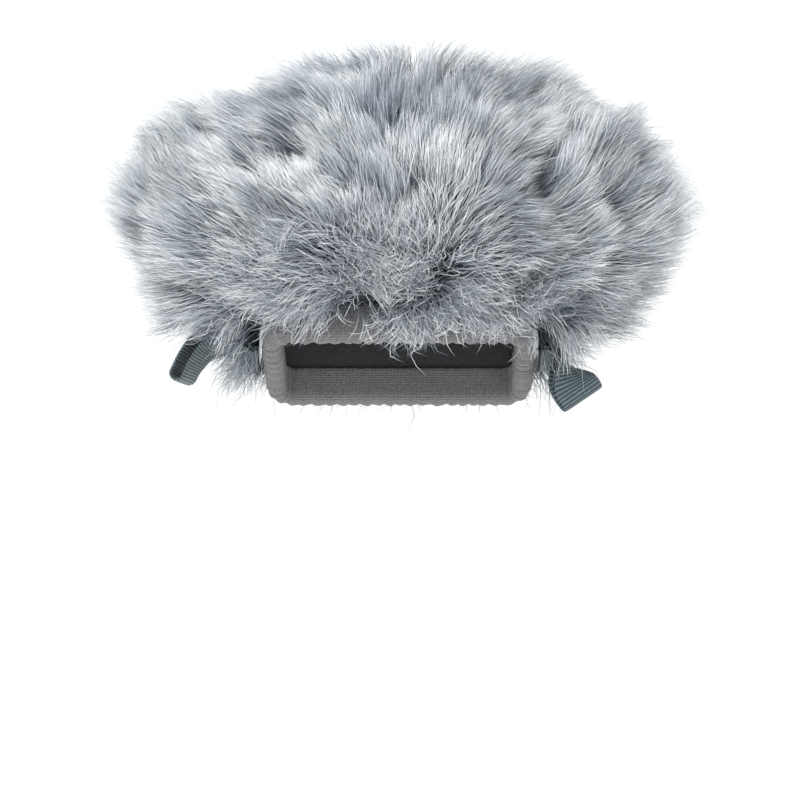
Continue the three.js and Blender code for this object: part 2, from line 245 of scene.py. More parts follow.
def clothMaterial(name, color, threads, patch, bump, sheen, mapName=None):
    # the weave follows the piece's own map, or lies square to the hood's width and height
    material, shader = newMaterial(name, sheen=sheen)
    tree = material.node_tree
    cloth = tree.nodes.new("ShaderNodeGroup")
    cloth.node_tree = clothGroup
    if mapName:
        place = tree.nodes.new("ShaderNodeUVMap")
        place.uv_map = mapName
        tree.links.new(place.outputs["UV"], cloth.inputs["Vector"])
    else:
        place = tree.nodes.new("ShaderNodeTexCoord")
        upright = tree.nodes.new("ShaderNodeMapping")
        upright.inputs["Rotation"].default_value = (math.pi / 2, 0, 0)
        tree.links.new(place.outputs["Object"], upright.inputs["Vector"])
        tree.links.new(upright.outputs["Vector"], cloth.inputs["Vector"])
    cloth.inputs["Color"].default_value = (*color, 1)
    cloth.inputs["Threads"].default_value = threads
    cloth.inputs["Patch"].default_value = patch
    tree.links.new(cloth.outputs["Color"], shader.inputs["Base Color"])
    tree.links.new(cloth.outputs["Rough"], shader.inputs["Roughness"])
    addBump(material, shader, cloth.outputs["Height"], bump)
    return material


hairUv = "OFBake"      # one map on every hair: across is the lock's shade, including painted light and shade, up is root to tip
weaveUv = "tapeWeave"
casingUv = "casingWeave"


def hairMaterial(name, stops, shades, roughness, sheen):
    # colour runs from root to tip, and each lock has its own shade, which also carries painted light and
    # shade
    material, shader = newMaterial(name, roughness, sheen, 0.35, 0.2)
    tree = material.node_tree
    uv = tree.nodes.new("ShaderNodeUVMap")
    uv.uv_map = hairUv
    split = tree.nodes.new("ShaderNodeSeparateXYZ")
    tree.links.new(uv.outputs["UV"], split.inputs[0])
    ramps = []
    for points, socket in ((stops, "Y"), (shades, "X")):
        ramp = tree.nodes.new("ShaderNodeValToRGB")
        ramp.color_ramp.interpolation = "EASE" if socket == "Y" else "LINEAR"
        while len(ramp.color_ramp.elements) < len(points):
            ramp.color_ramp.elements.new(0.5)
        for element, (position, color) in zip(ramp.color_ramp.elements, points):
            element.position = position
            element.color = (*color, 1)
        tree.links.new(split.outputs[socket], ramp.inputs["Fac"])
        ramps.append(ramp)
    mix = tree.nodes.new("ShaderNodeMix")
    mix.data_type, mix.blend_type = "RGBA", "MULTIPLY"
    mix.inputs["Factor"].default_value = 1.0
    tree.links.new(ramps[0].outputs["Color"], mix.inputs["A"])
    tree.links.new(ramps[1].outputs["Color"], mix.inputs["B"])
    tree.links.new(mix.outputs["Result"], shader.inputs["Base Color"])
    return material


clothGroup = buildClothGroup()
lockShades = [(0.0, (0.34, 0.37, 0.42)), (0.35, (0.7, 0.73, 0.77)), (0.7, (0.98, 0.985, 0.99)),
              (1.0, (1.12, 1.12, 1.11))]
pileStops = [(0.0, (0.035, 0.043, 0.058)), (0.3, (0.13, 0.155, 0.19)), (0.6, (0.47, 0.503, 0.53)),
             (0.9, (0.79, 0.81, 0.82))]
underStops = [(0.0, (0.04, 0.047, 0.058)), (0.6, (0.1, 0.115, 0.135)), (1.0, (0.2, 0.225, 0.255))]
pileMaterial = hairMaterial("furPile", pileStops, lockShades, 0.6, 0.08)
underMaterial = hairMaterial("furUnderdown", underStops, lockShades, 0.75, 0.1)
backingMaterial = clothMaterial("knittedBacking", (0.035, 0.038, 0.046), 2400, 0.3, 0.0002, 0.1)
liningMaterial = clothMaterial("liningKnit", (0.03, 0.032, 0.037), 700, 0.35, 0.0002, 0.35)
casingMaterial = clothMaterial("hemTape", (0.135, 0.13, 0.136), 480, 0.4, 0.0003, 0.3, casingUv)
elasticMaterial = clothMaterial("braidedElastic", (0.02, 0.021, 0.024), 1500, 0.3, 0.0003, 0.1)
print("materials ready")


# hair

# the front is combed in a fan from low in the middle, and a few sweeps bend it,
# in mm and degrees (0 right, 90 up): middle, reach and the way the tips lie
sweeps = [
    (-28, 62, 20, 150),     # to the left below the crown
    (-62, 46, 18, 135),     # up over the left side
    (52, 50, 22, 45),       # up over the right side
    (0, 44, 14, 105),       # nearly upright in the middle
]
fanMiddle = {"front": 12 * mm, "rest": 36 * mm}

# dark partings on the front, in mm and degrees: middle, half length, half width, lie, depth
partings = np.array([
    (-36, 71, 8, 2.2, 172, 0.9), (-12, 68, 10, 2.0, 178, 0.8), (17, 71, 7, 2.2, 170, 0.6),
    (10, 63, 4, 1.8, 100, 0.7), (21, 62, 5, 2.2, 95, 0.6), (31, 47, 6, 3.0, 80, 1.0),
    (-65, 53, 5, 1.8, 110, 0.7), (-52, 52, 5, 1.8, 105, 0.6), (-25, 49, 3, 1.6, 150, 0.6),
    (-32, 34, 9, 4.0, 160, 0.8), (-5, 38, 4, 3.0, 110, 0.6), (52, 39, 6, 2.4, 45, 0.7),
    (31, 27, 8, 6.0, 150, 0.8), (-14, 22, 6, 3.0, 0, 0.6), (65, 45, 3, 2.0, 40, 0.6),
    (60, 27, 5, 2.0, 25, 0.6), (-62, 30, 5, 2.0, 140, 0.5), (44, 58, 3, 1.5, 60, 0.5),
], float)


# which points lie on each cut panel
panels = {
    "front": lambda p: p[:, 1] < -seamY,
    "back": lambda p: p[:, 1] > seamY,
    "left": lambda p: (np.abs(p[:, 1]) <= seamY) & (p[:, 0] < 0),
    "right": lambda p: (np.abs(p[:, 1]) <= seamY) & (p[:, 0] >= 0),
}


def surfaceCells():
    # small cells of the backing above the casing: where each lies, its size, area and middle
    columns, rows = 512, 320
    angle = np.linspace(0, 2 * np.pi, columns + 1)
    up = np.linspace(1.05 / (len(hoodRows) - 1), 1, rows + 1)
    a, u = np.meshgrid((angle[:-1] + angle[1:]) / 2, (up[:-1] + up[1:]) / 2)
    a, u = a.ravel(), u.ravel()
    da, du = angle[1] - angle[0], up[1] - up[0]
    across = (hoodPoint(a + da / 2, u) - hoodPoint(a - da / 2, u))
    rise = (hoodPoint(a, u + du / 2) - hoodPoint(a, u - du / 2))
    area = np.linalg.norm(np.cross(across, rise), axis=1)
    return {"angle": a, "up": u, "da": da, "du": du, "area": area, "middle": hoodPoint(a, u)}


cells = surfaceCells()


def sow(keep, count, random):
    # evenly spread random roots on the part of the hood that keep accepts
    weight = cells["area"] * keep(cells["middle"])
    chosen = random.choice(len(weight), count, p=weight / weight.sum())
    angle = cells["angle"][chosen] + (random.random(count) - 0.5) * cells["da"]
    up = np.clip(cells["up"][chosen] + (random.random(count) - 0.5) * cells["du"], 0, 1)
    return hoodPoint(angle, up), hoodNormal(angle, up)


def spaced(points, spacing):
    # indices of points that keep a distance from each other
    tree = KDTree(len(points))
    for i, p in enumerate(points):
        tree.insert(p, i)
    tree.balance()
    free = np.ones(len(points), bool)
    kept = []
    for i, p in enumerate(points):
        if free[i]:
            kept.append(i)
            for _, k, _ in tree.find_range(p, spacing):
                free[k] = False
    return np.array(kept)


def nearest(points, others):
    tree = KDTree(len(others))
    for i, p in enumerate(others):
        tree.insert(p, i)
    tree.balance()
    return np.array([tree.find(p)[1] for p in points])


def smoothNoise(points, size, seed):
    # a smooth random field, about 1 either way, whose patches are of this size
    random = np.random.default_rng(seed)
    waves = 24
    turn = unit(random.normal(0, 1, (waves, 3))) * (2 * np.pi / size) * random.uniform(0.5, 1.4, (waves, 1))
    return math.sqrt(2 / waves) * np.cos(points @ turn.T + random.uniform(0, 2 * np.pi, waves)).sum(1)


def hemShare(points):
    # 1 near the mouth, where the pile is matted, and 0 over the rest
    towardsSide = np.maximum(np.abs(points[:, 0]) - 25 * mm, 0)
    return 1 - smoothStep(points[:, 2] + 0.25 * points[:, 1] + 0.3 * towardsSide, 12 * mm, 36 * mm)


def partingDepth(points):
    onFront = smoothStep(-points[:, 1], 6 * mm, 16 * mm)
    depth = np.zeros(len(points))
    for x, z, long, wide, lie, deep in partings:
        turn = math.radians(lie)
        dx, dz = points[:, 0] / mm - x, points[:, 2] / mm - z
        u = (dx * math.cos(turn) + dz * math.sin(turn)) / long
        v = (dz * math.cos(turn) - dx * math.sin(turn)) / wide
        depth = np.maximum(depth, deep * np.exp(-(u * u + v * v)))
    loose = smoothStep(smoothNoise(points, 11 * mm, 5), 0.8, 1.9) * 0.7
    return np.maximum(depth * onFront, loose)


# painted light and shade over the front, with some mottled tone: painted light at the upper left and on the
# middle of the front, painted shade in the partings along the crown and lower on the front; in mm: middle,
# half width, half height and how much the shade changes
paintedLightAndTones = np.array([
    (-30, 69, 12, 5, -0.4), (-8, 69, 15, 6, -0.45), (14, 67, 14, 7, -0.35),
    (2, 76, 30, 5, -0.12), (-62, 70, 14, 12, 0.14), (11, 40, 10, 11, 0.14),
    (26, 46, 9, 6, -0.25), (-28, 46, 14, 7, 0.14), (-32, 32, 10, 6, -0.25),
    (30, 26, 9, 7, -0.2),
], float)


def paintedLightAndToneAt(points):
    onFront = smoothStep(-points[:, 1], 4 * mm, 14 * mm)
    change = np.zeros(len(points))
    for x, z, wide, high, amount in paintedLightAndTones:
        away = ((points[:, 0] / mm - x) / wide) ** 2 + ((points[:, 2] / mm - z) / high) ** 2
        change += amount * np.exp(-away)
    return change * onFront


# seen from the front the outline dips above each side and rises at the crown,
# in degrees (0 right, 90 up): middle, half width and change in the hair's reach
outlineShape = [(25, 12, -0.3), (145, 12, -0.35), (90, 30, 0.2)]


def outlineReach(points):
    middle = 43 * mm
    angle = np.degrees(np.arctan2(points[:, 2] - middle, points[:, 0]))
    out = np.hypot(points[:, 0] / (62 * mm), (points[:, 2] - middle) / (28 * mm))
    change = sum(amount * np.exp(-((angle - lie) / half) ** 2) for lie, half, amount in outlineShape)
    return 1 + change * smoothStep(out, 0.55, 0.9)


def cutAtPartings(points, lie, length):
    # a hair whose tip would lie across a parting ends before it
    shown = 0.75           # the part of a hair's length that runs along the cloth
    for ahead in (0, 4, 7, 10, 13, 16):
        deep = partingDepth(points + lie * ahead * mm)
        length = np.minimum(length, ahead * mm / shown + (1 - 0.8 * deep) * length)
    return length


def combed(points, normals):
    # the way the tips lie along the skin
    onFront = smoothStep(-points[:, 1], 8 * mm, 18 * mm)
    fan = points.copy()
    fan[:, 1] *= 1 - onFront
    fan[:, 2] -= fanMiddle["rest"] + (fanMiddle["front"] - fanMiddle["rest"]) * onFront
    fan[:, 2] += 8 * mm * smoothNoise(points, 60 * mm, 6)
    fan[:, 0] += 8 * mm * smoothNoise(points, 50 * mm, 7)
    lie = unit(fan)
    for x, z, reach, angle in sweeps:
        away = ((points[:, 0] / mm - x) ** 2 + (points[:, 2] / mm - z) ** 2) / reach ** 2
        share = (np.exp(-away) * onFront)[:, None]
        way = np.array([math.cos(math.radians(angle)), 0, math.sin(math.radians(angle))])
        lie = lie * (1 - share) + way * share
    low = (1 - smoothStep(points[:, 2] + 0.4 * points[:, 1], 5 * mm, 15 * mm))[:, None]
    hang = np.stack([0.5 * np.sign(points[:, 0]) * smoothStep(np.abs(points[:, 0]), 20 * mm, 38 * mm),
                     np.zeros(len(points)), np.full(len(points), -0.8)], 1)
    lie = lie * (1 - 0.75 * low) + hang * low
    lie -= normals * np.sum(lie * normals, 1, keepdims=True)
    return unit(lie)


def turned(lie, normals, angle):
    angle = angle[:, None]
    return lie * np.cos(angle) + np.cross(normals, lie) * np.sin(angle)


def strands(points, normals, lie, lengths, segments, settings, lift):
    # a natural hair: it leaves the cloth leaning a little, then bends over along the lie of the pile
    along = [points]
    step = (lengths / segments)[:, None]
    for k in range(segments):
        t = (k + 0.5) / segments
        lean = np.radians(settings["leanRoot"] + (settings["leanTip"] - settings["leanRoot"]) * t ** 0.8)
        lean = np.clip(lean + lift, 0, math.radians(82))[:, None]
        direction = normals * np.cos(lean) + lie * np.sin(lean)
        direction = unit(direction + np.array([0, 0, -1.0]) * settings["droop"] * t ** 2)
        along.append(along[-1] + direction * step)
    return np.stack(along, 1)


def outOfCasing(path):
    # hair hangs outside the casing and stays out of the mouth
    margin = hem["wall"] + 0.5 * mm
    x, y, z = path[..., 0], path[..., 1], path[..., 2]
    cornerX, cornerY = gripX - hem["corner"], gripY - hem["corner"]
    qx, qy = np.abs(x) - cornerX, np.abs(y) - cornerY
    outX, outY = np.maximum(qx, 0), np.maximum(qy, 0)
    inside = np.minimum(np.maximum(qx, qy), 0)
    distance = np.hypot(outX, outY) + inside - hem["corner"]
    low = z < hem["height"] + hem["gap"] - hem["slope"] * y + 0.5 * mm
    need = np.where(low, np.maximum(margin - distance, 0), 0)
    useX = qx > qy
    pushX = np.where((outX > 0) | (outY > 0), outX / np.maximum(np.hypot(outX, outY), 1e-9), useX)
    pushY = np.where((outX > 0) | (outY > 0), outY / np.maximum(np.hypot(outX, outY), 1e-9), ~useX)
    moved = path.copy()
    moved[..., 0] += np.sign(x) * pushX * need
    moved[..., 1] += np.sign(y) * pushY * need
    return moved


def hairMesh(name, paths, radii, shade, material):
    # every hair is a three-sided tapered rod that ends in a point
    count, rings = paths.shape[0], paths.shape[1] - 1
    tangent = unit(np.gradient(paths, axis=1))
    reference = unit(np.cross(tangent[:, 0], np.roll(tangent[:, 0], 1, axis=1) + 0.37))[:, None]
    side = unit(reference - np.sum(reference * tangent, -1, keepdims=True) * tangent)
    other = np.cross(tangent, side)
    t = np.linspace(0, 1, rings + 1)
    width = radii[:, None] * (1 - 0.55 * t[None, :rings] ** 2.5)
    corners = []
    for k in range(3):
        turn = 2 * math.pi * k / 3
        spoke = side[:, :rings] * math.cos(turn) + other[:, :rings] * math.sin(turn)
        corners.append(paths[:, :rings] + spoke * width[..., None])
    ringPoints = np.stack(corners, 2).reshape(count, rings * 3, 3)
    vertices = np.concatenate([ringPoints, paths[:, -1:]], 1)
    perHair = rings * 3 + 1
    faces = [(0, 2, 1)]
    for r in range(rings - 1):
        for k in range(3):
            a, b = r * 3 + k, r * 3 + (k + 1) % 3
            faces += [(a, b, b + 3), (a, b + 3, a + 3)]
    last = (rings - 1) * 3
    faces += [(last + k, last + (k + 1) % 3, perHair - 1) for k in range(3)]
    faces = np.array(faces)
    index = (faces[None] + np.arange(count)[:, None, None] * perHair).reshape(-1)
    total = len(index) // 3
    mesh = bpy.data.meshes.new(name)
    mesh.vertices.add(count * perHair)
    mesh.vertices.foreach_set("co", vertices.astype(np.float32).ravel())
    mesh.loops.add(len(index))
    mesh.loops.foreach_set("vertex_index", index.astype(np.int32))
    mesh.polygons.add(total)
    mesh.polygons.foreach_set("loop_start", np.arange(0, total * 3, 3, dtype=np.int32))
    mesh.polygons.foreach_set("use_smooth", np.ones(total, bool))
    mesh.update()
    height = np.append(np.repeat(t[:rings], 3), 1.0)
    uv = np.empty((count, perHair, 2), np.float32)
    uv[..., 0] = np.clip(shade, 0.02, 0.98)[:, None]
    uv[..., 1] = 0.02 + 0.96 * height[None]
    layer = mesh.uv_layers.new(name=hairUv)
    layer.data.foreach_set("uv", uv.reshape(-1, 2)[index].ravel())
    mesh.materials.append(material)
    made = bpy.data.objects.new(name, mesh)
    scene.collection.objects.link(made)
    return made


def growPile(name, panel, region, seed, settings, material):
    random = np.random.default_rng(seed)
    keep = lambda p: panels[panel](p) & region(p)
    count, segments = settings["hairs"], settings["segments"]
    # tufts, then the fine locks in them, then the hairs in each lock
    tuftSample, tuftNormals = sow(keep, 4000, random)
    tufts = spaced(tuftSample, settings["tuft"])
    lockSample, lockNormals = sow(keep, 16000, random)
    locks = spaced(lockSample, settings["lock"])
    roots, normals = sow(keep, count, random)
    level, matting = [], []
    for points, away, turnBy, vary in (
            (tuftSample[tufts], tuftNormals[tufts], settings["turns"][0], 0.12),
            (lockSample[locks], lockNormals[locks], settings["turns"][1], 0.12),
            (roots, normals, settings["turns"][2], 0.18)):
        matted = hemShare(points)
        matting.append(matted)
        lie = combed(points, away)
        wander = 12 * smoothNoise(points, 16 * mm, 8) + random.normal(0, turnBy, len(points))
        lie = turned(lie, away, np.radians(wander * (1 + 1.8 * matted)))
        ahead = partingDepth(points)
        length = settings["length"] * (1 + 0.1 * smoothNoise(points, 22 * mm, 9)
                                       + random.normal(0, vary, len(points)))
        length = length * (1 - settings["hemShorter"] * matted) * outlineReach(points)
        length = cutAtPartings(points, lie, length)
        length = np.clip(length, settings["length"] * 0.25, settings["length"] * 1.35)
        lift = np.radians(8 * smoothNoise(points, 12 * mm, 10)
                          + random.normal(0, 6, len(points)) * (1 + matted))
        level.append(strands(points, away, lie, length, segments, settings, lift + 0.2 * ahead))
    tuftPath, lockPath, hairPath = level
    ofTuft = nearest(lockSample[locks], tuftSample[tufts])
    ofLock = nearest(roots, lockSample[locks])
    t = np.linspace(0, 1, segments + 1)[None, :, None]
    loose = matting[2][:, None, None]
    lockFinal = lockPath + (tuftPath[ofTuft] - lockPath) * settings["tuftHold"] * t ** 1.3
    stray = (random.random(count) < settings["stray"])[:, None, None]
    hold = np.where(stray, 0.0, settings["lockHold"] * (1 - 0.5 * loose)) * t ** 1.2
    path = hairPath + (lockFinal[ofLock] - hairPath) * hold
    # each hair waves a little, and it curls where the pile is matted
    sway = unit(np.cross(path[:, -1] - path[:, 0], random.normal(0, 1, (count, 3))))[:, None]
    lift = unit(np.cross(path[:, -1] - path[:, 0], sway[:, 0]))[:, None]
    amplitude = (settings["wave"] + settings["curl"] * loose) * (0.4 + 1.2 * random.random((count, 1, 1)))
    turns = 0.6 + 1.4 * loose + 0.6 * random.random((count, 1, 1))
    phase = random.random((count, 1, 1)) * 2 * np.pi
    curl = np.sin(2 * np.pi * turns * t + phase) - np.sin(phase)
    rise = np.cos(2 * np.pi * turns * t * 0.8 + phase) - np.cos(phase)
    path = path + (sway * curl + lift * rise * 0.7) * amplitude * t ** 0.7
    path = outOfCasing(path)
    # each lock's shade: random mottling plus the painted light and shade of the table above
    mottleAndPaintedLight = 0.1 * smoothNoise(lockSample[locks], 12 * mm, 4) + paintedLightAndToneAt(lockPath[:, -2])
    shade = (settings["shade"] + mottleAndPaintedLight + random.normal(0, settings["lockVary"], len(locks)))[ofLock]
    bright = random.random(count) < settings["bright"]
    # near the mouth most hairs are darker: partly their own darker colour, partly painted shade of the low
    # part of the hood; the few bright hairs are lighter
    shade = (shade + random.normal(0, 0.09, count) - settings["hemDarkAndPaintedShade"] * matting[2] * ~bright
             + 0.25 * bright)
    radii = settings["radius"] * (0.7 + 0.6 * random.random(count)) * (1 + 0.3 * bright)
    made = hairMesh(name, path, radii, shade, material)
    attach(made, "hood")
    print(name, "hairs", count, "triangles", len(made.data.polygons))


pile = {
    "hairs": 8900, "segments": 4, "length": 20.5 * mm, "radius": 0.09 * mm, "tuft": 6 * mm, "lock": 1.5 * mm,
    "turns": (10, 13, 13), "tuftHold": 0.33, "lockHold": 0.68, "leanRoot": 25, "leanTip": 72,
    "stray": 0.1, "wave": 0.45 * mm, "curl": 1.3 * mm, "droop": 0.05,
    "shade": 0.58, "lockVary": 0.14, "bright": 0.08, "hemShorter": 0.3, "hemDarkAndPaintedShade": 0.4,
}
hemPile = {**pile, "hairs": 4900, "segments": 7, "radius": 0.085 * mm, "tuftHold": 0.2, "lockHold": 0.5,
           "stray": 0.2, "bright": 0.22}
backPile = {**pile, "hairs": 7300}
gussetPile = {**pile, "hairs": 7800, "leanRoot": 15, "leanTip": 60, "hemShorter": 0.05, "bright": 0.15}
underdown = {**pile, "hairs": 6000, "segments": 2, "length": 11 * mm, "radius": 0.13 * mm, "tuftHold": 0.1,
             "lock": 2.2 * mm, "lockHold": 0.25, "stray": 0.2, "turns": (15, 20, 25), "hemShorter": 0.2,
             "lockVary": 0.1, "bright": 0.0, "hemDarkAndPaintedShade": 0.25}

hemLine = lambda p: p[:, 2] + 0.25 * p[:, 1]
hemTop = 26 * mm
anywhere = lambda p: np.ones(len(p), bool)
upperLeft = lambda p: (hemLine(p) > hemTop) & (p[:, 0] < -18 * mm)
upperMiddle = lambda p: (hemLine(p) > hemTop) & (np.abs(p[:, 0]) <= 18 * mm)
upperRight = lambda p: (hemLine(p) > hemTop) & (p[:, 0] > 18 * mm)
lowerLeft = lambda p: (hemLine(p) <= hemTop) & (p[:, 0] <= 0)
lowerRight = lambda p: (hemLine(p) <= hemTop) & (p[:, 0] > 0)

plan = [
    ("front_underdown", "front", anywhere, 11, {**underdown, "hairs": 9000}, underMaterial),
    ("front_pile_left", "front", upperLeft, 12, pile, pileMaterial),
    ("front_pile_middle", "front", upperMiddle, 13, pile, pileMaterial),
    ("front_pile_right", "front", upperRight, 14, pile, pileMaterial),
    ("front_pile_hem_left", "front", lowerLeft, 15, hemPile, pileMaterial),
    ("front_pile_hem_right", "front", lowerRight, 16, hemPile, pileMaterial),
    ("back_underdown", "back", anywhere, 21, underdown, underMaterial),
    ("back_pile_left", "back", lambda p: p[:, 0] <= 0, 22, backPile, pileMaterial),
    ("back_pile_right", "back", lambda p: p[:, 0] > 0, 23, backPile, pileMaterial),
    ("gusset_underdown_left", "left", anywhere, 31, {**underdown, "hairs": 3500}, underMaterial),
    ("gusset_pile_left", "left", anywhere, 32, gussetPile, pileMaterial),
    ("gusset_underdown_right", "right", anywhere, 41, {**underdown, "hairs": 3500}, underMaterial),
    ("gusset_pile_right", "right", anywhere, 42, gussetPile, pileMaterial),
]
for name, panel, region, seed, settings, material in plan:
    growPile(name, panel, region, seed, settings, material)


# locks that have come loose and lie curled over the pile, in mm and degrees (0 right, 90 up):
# start, first and last direction, length, width, hairs and shade
curledLocks = [
    (-22, 31, 12, -58, 25, 3.0, 90, 0.98), (-17, 27, -8, -62, 19, 2.2, 60, 0.95),
    (-12, 33, 150, 200, 14, 1.6, 30, 0.85), (8, 24, -8, -32, 17, 2.0, 50, 0.92),
    (24, 25, 40, -20, 15, 1.8, 36, 0.85), (-30, 27, 100, 40, 13, 1.6, 30, 0.8),
    (2, 30, 120, 60, 13, 1.8, 34, 0.85), (33, 22, -30, -75, 17, 2.2, 50, 0.85),
    (38, 18, -40, -85, 18, 2.4, 60, 0.8), (44, 19, -30, -70, 17, 2.0, 50, 0.8),
    (-38, 20, 215, 250, 17, 2.2, 50, 0.8), (-46, 21, 200, 235, 17, 2.2, 50, 0.8),
    (-31, 15, 230, 275, 12, 1.8, 30, 0.8), (29, 15, -50, -100, 12, 1.8, 30, 0.8),
]
looseLock = {"segments": 9, "radius": 0.085 * mm, "height": 11 * mm, "wave": 0.35 * mm, "hangers": 46}


def frontSurface(x, z):
    # the front face of the cloth at each x and z
    front = cells["middle"][cells["middle"][:, 1] < -2 * mm]
    tree = KDTree(len(front))
    for i, p in enumerate(front):
        tree.insert((p[0], 0, p[2]), i)
    tree.balance()
    return np.array([front[tree.find((a, 0, b))[1]][1] for a, b in zip(x, z)])


def growCurledLocks(name, seed):
    random = np.random.default_rng(seed)
    segments = looseLock["segments"]
    t = np.linspace(0, 1, segments + 1)
    wanted = list(curledLocks)
    # single hairs that hang over the edge of the mouth
    for k in range(looseLock["hangers"]):
        x = random.uniform(-33, 33)
        first = -90 + x * 0.5 + random.normal(0, 22)
        wanted.append((x, random.uniform(16, 20), first, first + random.normal(0, 50),
                       random.uniform(8, 13), 0.8, 2, 0.85))
    paths, shades = [], []
    for x, z, first, last, long, wide, hairs, shade in wanted:
        for k in range(hairs):
            # each hair sets off from its own place along the lock and follows the lock's bend from there
            start = random.uniform(0, 0.4) if hairs > 2 else 0
            share = random.uniform(0.45, 0.8) if hairs > 2 else 1
            astray = random.normal(0, 9)
            turn = np.radians(first + (last - first) * (start + share * t[:-1]) + astray)
            lead = np.radians(first + (last - first) * start / 2)
            aside = random.normal(0, 0.5) * wide
            fromX = x + math.cos(lead) * start * long - math.sin(lead) * aside
            fromZ = z + math.sin(lead) * start * long + math.cos(lead) * aside
            step = long * share / segments
            hairX = (fromX + np.concatenate([[0], np.cumsum(np.cos(turn))]) * step) * mm
            hairZ = (fromZ + np.concatenate([[0], np.cumsum(np.sin(turn))]) * step) * mm
            high = looseLock["height"] * random.uniform(0.8, 1.08) * (0.3 + 0.7 * smoothStep(t, 0, 0.4))
            sway = looseLock["wave"] * np.sin(9 * t + random.uniform(0, 6))
            paths.append(np.stack([hairX, sway - high, hairZ], 1))
            shades.append(shade + random.normal(0, 0.1))
    path = np.array(paths)
    flatX, flatZ = path[..., 0].ravel(), path[..., 2].ravel()
    face = frontSurface(flatX, flatZ).reshape(path.shape[:2])
    for _ in range(3):
        face[:, 1:-1] = (face[:, :-2] + 2 * face[:, 1:-1] + face[:, 2:]) / 4
    path[..., 1] += face
    path = outOfCasing(path)
    radii = looseLock["radius"] * random.uniform(0.7, 1.3, len(path))
    made = hairMesh(name, path, radii, np.array(shades), pileMaterial)
    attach(made, "hood")
    print(name, "hairs", len(path), "triangles", len(made.data.polygons))


growCurledLocks("front_curled_locks", 51)


# skins: backing, foam and lining

def wrappedHood(name, columns, rows, outer, inner):
    # a flat grid wrapped into a hood with two walls: down the inside from the crown, up the outside
    bpy.ops.mesh.primitive_grid_add(x_subdivisions=columns, y_subdivisions=2 * rows + 1, size=2)
    made = bpy.context.object
    made.name = made.data.name = name
    flat = np.array([v.co for v in made.data.vertices])
    angle = (flat[:, 0] + 1) * np.pi
    across = flat[:, 1]
    up = np.clip(np.abs(across) * (2 * rows + 1) / (2 * rows) - 0.5 / rows, 0, 1)
    wall = across > 0
    outside = layerPoint(angle, up, *outer)
    inside = layerPoint(angle, up, *inner)
    placed = np.where(wall[:, None], outside, inside)
    made.data.vertices.foreach_set("co", placed.astype(np.float32).ravel())
    bpy.ops.object.mode_set(mode="EDIT")
    bpy.ops.mesh.select_all(action="SELECT")
    bpy.ops.mesh.remove_doubles(threshold=0.00002)
    bpy.ops.mesh.normals_make_consistent(inside=False)
    bpy.ops.object.mode_set(mode="OBJECT")
    return made


def cutPanel(whole, name, cuts):
    # a copy of the wrapped hood, cut off at planes (point, normal) and closed along each cut
    made = whole.copy()
    made.data = whole.data.copy()
    made.name = made.data.name = name
    scene.collection.objects.link(made)
    bpy.ops.object.select_all(action="DESELECT")
    bpy.context.view_layer.objects.active = made
    made.select_set(True)
    bpy.ops.object.mode_set(mode="EDIT")
    for point, normal in cuts:
        bpy.ops.mesh.select_all(action="SELECT")
        bpy.ops.mesh.bisect(plane_co=point, plane_no=normal, use_fill=True, clear_outer=True)
    bpy.ops.object.mode_set(mode="OBJECT")
    bpy.ops.object.shade_smooth_by_angle(angle=math.radians(50))
    bpy.ops.object.select_all(action="DESELECT")
    return made


def layerPanels(layer, settings, material):
    half = settings["seamGap"] / 2
    columns, rows = settings["grid"]
    outer = [d * mm for d in settings["outer"]]
    inner = [d * mm for d in settings["inner"]]
    whole = wrappedHood(layer, columns, rows, outer, inner)
    front = ((0, -seamY - half, 0), (0, 1, 0))
    back = ((0, seamY + half, 0), (0, -1, 0))
    between = [((0, -seamY + half, 0), (0, -1, 0)), ((0, seamY - half, 0), (0, 1, 0))]
    cuts = {"front": [front], "back": [back]}
    if settings["crownSeam"]:
        cuts["gusset_left"] = [*between, ((-half, 0, 0), (1, 0, 0))]
        cuts["gusset_right"] = [*between, ((half, 0, 0), (-1, 0, 0))]
    else:
        cuts["gusset"] = between
    made = []
    for side, planes in cuts.items():
        piece = cutPanel(whole, f"{layer}_{side}", planes)
        piece.data.materials.append(material)
        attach(piece, "hood")
        node = settings["nodes"].get(side, f"{layer}_{side}")
        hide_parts(node)
        made.append(piece.name)
    bpy.data.objects.remove(whole)
    print(layer, "panels", made)


foamMaterial, foamShader = newMaterial("openCellFoam", 0.95, 0.1)
foamTree = foamMaterial.node_tree
cellsTexture = foamTree.nodes.new("ShaderNodeTexVoronoi")
cellsTexture.inputs["Scale"].default_value = 1800
foamPlace = foamTree.nodes.new("ShaderNodeTexCoord")
# the colour is darker in the middle of each cell: painted shade in the pores
foamPaintedPoreShade = foamTree.nodes.new("ShaderNodeValToRGB")
foamPaintedPoreShade.color_ramp.elements[0].color = (0.012, 0.013, 0.015, 1)
foamPaintedPoreShade.color_ramp.elements[1].color = (0.07, 0.073, 0.08, 1)
foamTree.links.new(foamPlace.outputs["Object"], cellsTexture.inputs["Vector"])
foamTree.links.new(cellsTexture.outputs["Distance"], foamPaintedPoreShade.inputs["Fac"])
foamTree.links.new(foamPaintedPoreShade.outputs["Color"], foamShader.inputs["Base Color"])
addBump(foamMaterial, foamShader, cellsTexture.outputs["Distance"], 0.0003)

